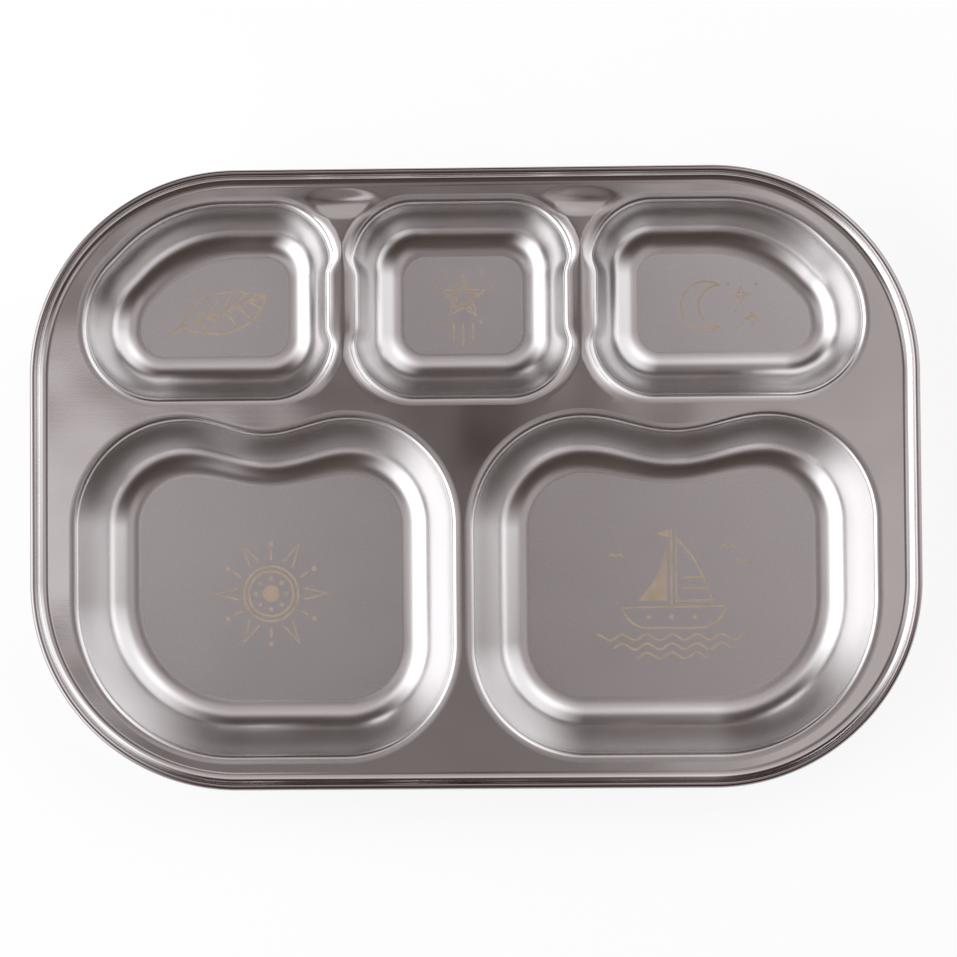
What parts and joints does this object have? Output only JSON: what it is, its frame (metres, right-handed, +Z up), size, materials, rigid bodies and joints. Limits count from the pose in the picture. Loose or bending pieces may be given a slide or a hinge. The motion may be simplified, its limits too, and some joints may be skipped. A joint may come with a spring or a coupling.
{
  "type": "divided compartment plate",
  "caption": "Rounded rectangular stainless steel serving tray with a rolled rim, a flat deck and drawn compartments: large waved wells in front, small wells behind.",
  "frame": {"origin": "under the middle of the tray, on the surface that the well floors stand on", "axes": "+X along the tray's length, +Y from the front row of large wells to the back row of small wells, +Z up"},
  "size_m": [0.268, 0.187, 0.023],
  "materials": {
    "rim_steel": "bright drawn steel, nearly polished",
    "deck_steel": "semi-gloss rolled steel",
    "wall_steel": "satin, smoothed by drawing",
    "floor_steel": "fine blasted satin with tan etched marks"
  },
  "bodies": {
    "root": {"rim_curl": "rim_steel", "rim_step": "rim_steel", "deck": "deck_steel", "back_left_well_wall": "wall_steel", "back_left_well_floor": "floor_steel", "back_centre_well_wall": "wall_steel", "back_centre_well_floor": "floor_steel", "back_right_well_wall": "wall_steel", "back_right_well_floor": "floor_steel", "front_left_well_wall": "wall_steel", "front_left_well_floor": "floor_steel", "front_right_well_wall": "wall_steel", "front_right_well_floor": "floor_steel"}
  },
  "joints": []
}
